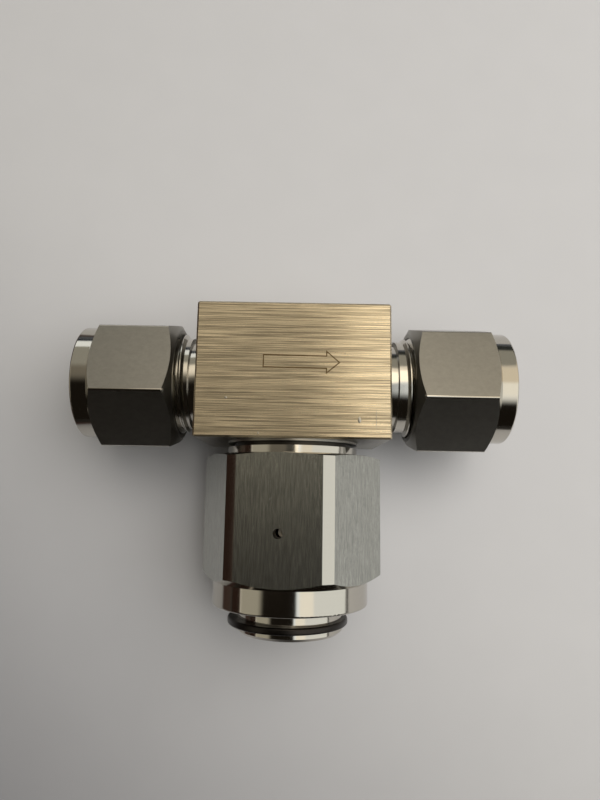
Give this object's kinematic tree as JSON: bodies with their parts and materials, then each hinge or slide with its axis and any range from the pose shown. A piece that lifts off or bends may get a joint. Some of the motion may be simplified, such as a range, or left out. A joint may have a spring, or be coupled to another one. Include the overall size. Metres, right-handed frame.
{
  "type": "inline particulate filter",
  "caption": "Stainless tee-type particulate filter: square body with compression nuts at both tube ends and a replaceable element held in a bonnet by a large hexagon nut.",
  "frame": {"origin": "on the flow axis at the inlet tube's stop inside the body, 22.5 mm in from the inlet nut's outer face", "axes": "+X along the flow, from the inlet to the outlet; -Y down the bonnet; +Z out of the face that carries the flow arrow"},
  "size_m": [0.0794, 0.0577, 0.0314],
  "materials": {
    "brushed_body": "coarse belt brushing along the flow axis",
    "satin_nut": "fine satin",
    "ground_nut": "satin flats ground along the bonnet axis, polished collar",
    "turned_steel": "fine turned, bright",
    "gasket_metal": "bright plated",
    "sintered_steel": "matt porous",
    "spring_wire": "drawn wire",
    "dark_ring": "dark rough wire ring"
  },
  "bodies": {
    "root": {"filter_body": "brushed_body", "inlet_tube_nut": "satin_nut", "inlet_front_ferrule": "turned_steel", "inlet_back_ferrule": "turned_steel", "outlet_tube_nut": "satin_nut", "outlet_front_ferrule": "turned_steel", "outlet_back_ferrule": "turned_steel", "bonnet_nut": "ground_nut", "bonnet": "turned_steel", "bonnet_gasket": "gasket_metal", "filter_element": "sintered_steel", "element_spring": "spring_wire", "retaining_ring": "dark_ring"}
  },
  "joints": []
}
